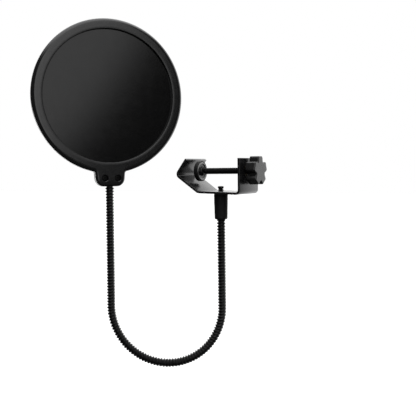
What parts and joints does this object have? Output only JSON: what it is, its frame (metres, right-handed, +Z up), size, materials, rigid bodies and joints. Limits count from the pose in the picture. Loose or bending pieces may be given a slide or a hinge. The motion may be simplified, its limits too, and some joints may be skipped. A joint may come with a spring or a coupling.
{
  "type": "pop filter",
  "caption": "Clamp-on microphone pop filter: round double-mesh screen on a U-shaped gooseneck arm with a V-jaw screw clamp.",
  "frame": {"origin": "on the clamp screw's axis at the strap's mid-width, between the root of the V jaw and the closed pressure pad", "axes": "+X along the clamp screw from the V jaw to the knob, +Y across the clamp strap, +Z up; the gooseneck hangs down from the clamp and carries the screen at its far end, above and to the -X side"},
  "size_m": [0.201, 0.126, 0.3488],
  "materials": {
    "bracket_paint": "satin black paint over bent steel strip",
    "plated_steel": "zinc-plated turned steel",
    "black_screw": "black-oxide machine screw steel",
    "knob_plastic": "moulded black plastic with a fine matt texture",
    "brass_insert": "moulded-in hexagonal brass insert",
    "pad_rubber": "soft black rubber facing",
    "pad_steel": "black-plated pressed steel cup, semi-bright",
    "fibre_washer": "black fibre friction washer",
    "ferrule_plastic": "satin black moulded sleeve",
    "gooseneck_wire": "black-finished wound steel wire with fine ridges",
    "ring_plastic": "moulded black plastic with a fine spark-eroded texture",
    "nylon_mesh": "taut woven black nylon mesh, fine and close enough to read as near-opaque",
    "spacer_plastic": "moulded black plastic hoop hidden between the meshes"
  },
  "bodies": {
    "clamp": {"clamp_bracket": "bracket_paint", "thread_bush": "plated_steel", "friction_washer": "fibre_washer"},
    "pad": {"pad_facing": "pad_rubber", "pad_cup": "pad_steel", "pad_retainer": "black_screw"},
    "screw": {"clamp_screw": "black_screw", "knob": "knob_plastic", "knob_insert": "brass_insert"},
    "ferrule": {"ferrule_sleeve": "ferrule_plastic", "ferrule_plug": "plated_steel", "pivot_screw": "black_screw", "pivot_washer": "black_screw", "pivot_spring_washer": "black_screw", "gooseneck_1": "gooseneck_wire"},
    "neck_2": {"gooseneck_2": "gooseneck_wire"},
    "neck_3": {"gooseneck_3": "gooseneck_wire"},
    "neck_4": {"gooseneck_4": "gooseneck_wire"},
    "neck_5": {"gooseneck_5": "gooseneck_wire"},
    "neck_6": {"gooseneck_6": "gooseneck_wire"},
    "neck_7": {"gooseneck_7": "gooseneck_wire"},
    "neck_8": {"gooseneck_8": "gooseneck_wire"},
    "neck_9": {"gooseneck_9": "gooseneck_wire"},
    "screen": {"gooseneck_10": "gooseneck_wire", "anchor_plug": "plated_steel", "front_ring": "ring_plastic", "rear_ring": "ring_plastic", "front_mesh": "nylon_mesh", "rear_mesh": "nylon_mesh", "spacer_ring": "spacer_plastic", "tab_screw_1": "black_screw", "tab_screw_2": "black_screw"}
  },
  "joints": [
    {"name": "pad_slide", "type": "slide", "parent": "clamp", "child": "pad", "axis": [1, 0, 0], "range_m": [0, 0.042]},
    {"name": "screw_turn", "type": "hinge", "parent": "pad", "child": "screw", "pos_m": [0.03, 0, 0], "axis": [1, 0, 0], "range_deg": [0, 15120]},
    {"name": "arm_swivel", "type": "hinge", "parent": "clamp", "child": "ferrule", "pos_m": [0.0295, 0, -0.0225], "axis": [0, 0, 1], "range_deg": [-120, 120]},
    {"name": "neck_bend_1", "type": "hinge", "parent": "ferrule", "child": "neck_2", "pos_m": [0.0295, 0, -0.0671], "axis": [-0.3355, 0.9421, 0], "range_deg": [-25, 15]},
    {"name": "neck_sway_2", "type": "hinge", "parent": "neck_2", "child": "neck_3", "pos_m": [0.0295, 0, -0.10935], "axis": [0.9421, 0.3355, 0], "range_deg": [-25, 25]},
    {"name": "neck_bend_3", "type": "hinge", "parent": "neck_3", "child": "neck_4", "pos_m": [0.027, -0.00089, -0.15133], "axis": [0.3355, -0.9421, 0], "range_deg": [-10, 25]},
    {"name": "neck_sway_4", "type": "hinge", "parent": "neck_4", "child": "neck_5", "pos_m": [0.00255, -0.0096, -0.18342], "axis": [-0.4663, -0.166, 0.8689], "range_deg": [-25, 25]},
    {"name": "neck_bend_5", "type": "hinge", "parent": "neck_5", "child": "neck_6", "pos_m": [-0.03593, -0.0233, -0.18938], "axis": [-0.3355, 0.9421, 0], "range_deg": [-25, 8]},
    {"name": "neck_sway_6", "type": "hinge", "parent": "neck_6", "child": "neck_7", "pos_m": [-0.068, -0.03472, -0.16605], "axis": [-0.7791, -0.2774, -0.5622], "range_deg": [-25, 25]},
    {"name": "neck_bend_7", "type": "hinge", "parent": "neck_7", "child": "neck_8", "pos_m": [-0.07723, -0.03801, -0.12577], "axis": [0.3355, -0.9421, 0], "range_deg": [-8, 25]},
    {"name": "neck_sway_8", "type": "hinge", "parent": "neck_8", "child": "neck_9", "pos_m": [-0.07723, -0.03801, -0.08352], "axis": [0.9421, 0.3355, 0], "range_deg": [-25, 25]},
    {"name": "neck_bend_9", "type": "hinge", "parent": "neck_9", "child": "screen", "pos_m": [-0.07723, -0.03801, -0.04127], "axis": [-0.3355, 0.9421, 0], "range_deg": [-25, 15]}
  ],
  "couplings": [
    {"joint": "screw_turn", "follows": "pad_slide", "rad_per_m": 6283.2}
  ]
}
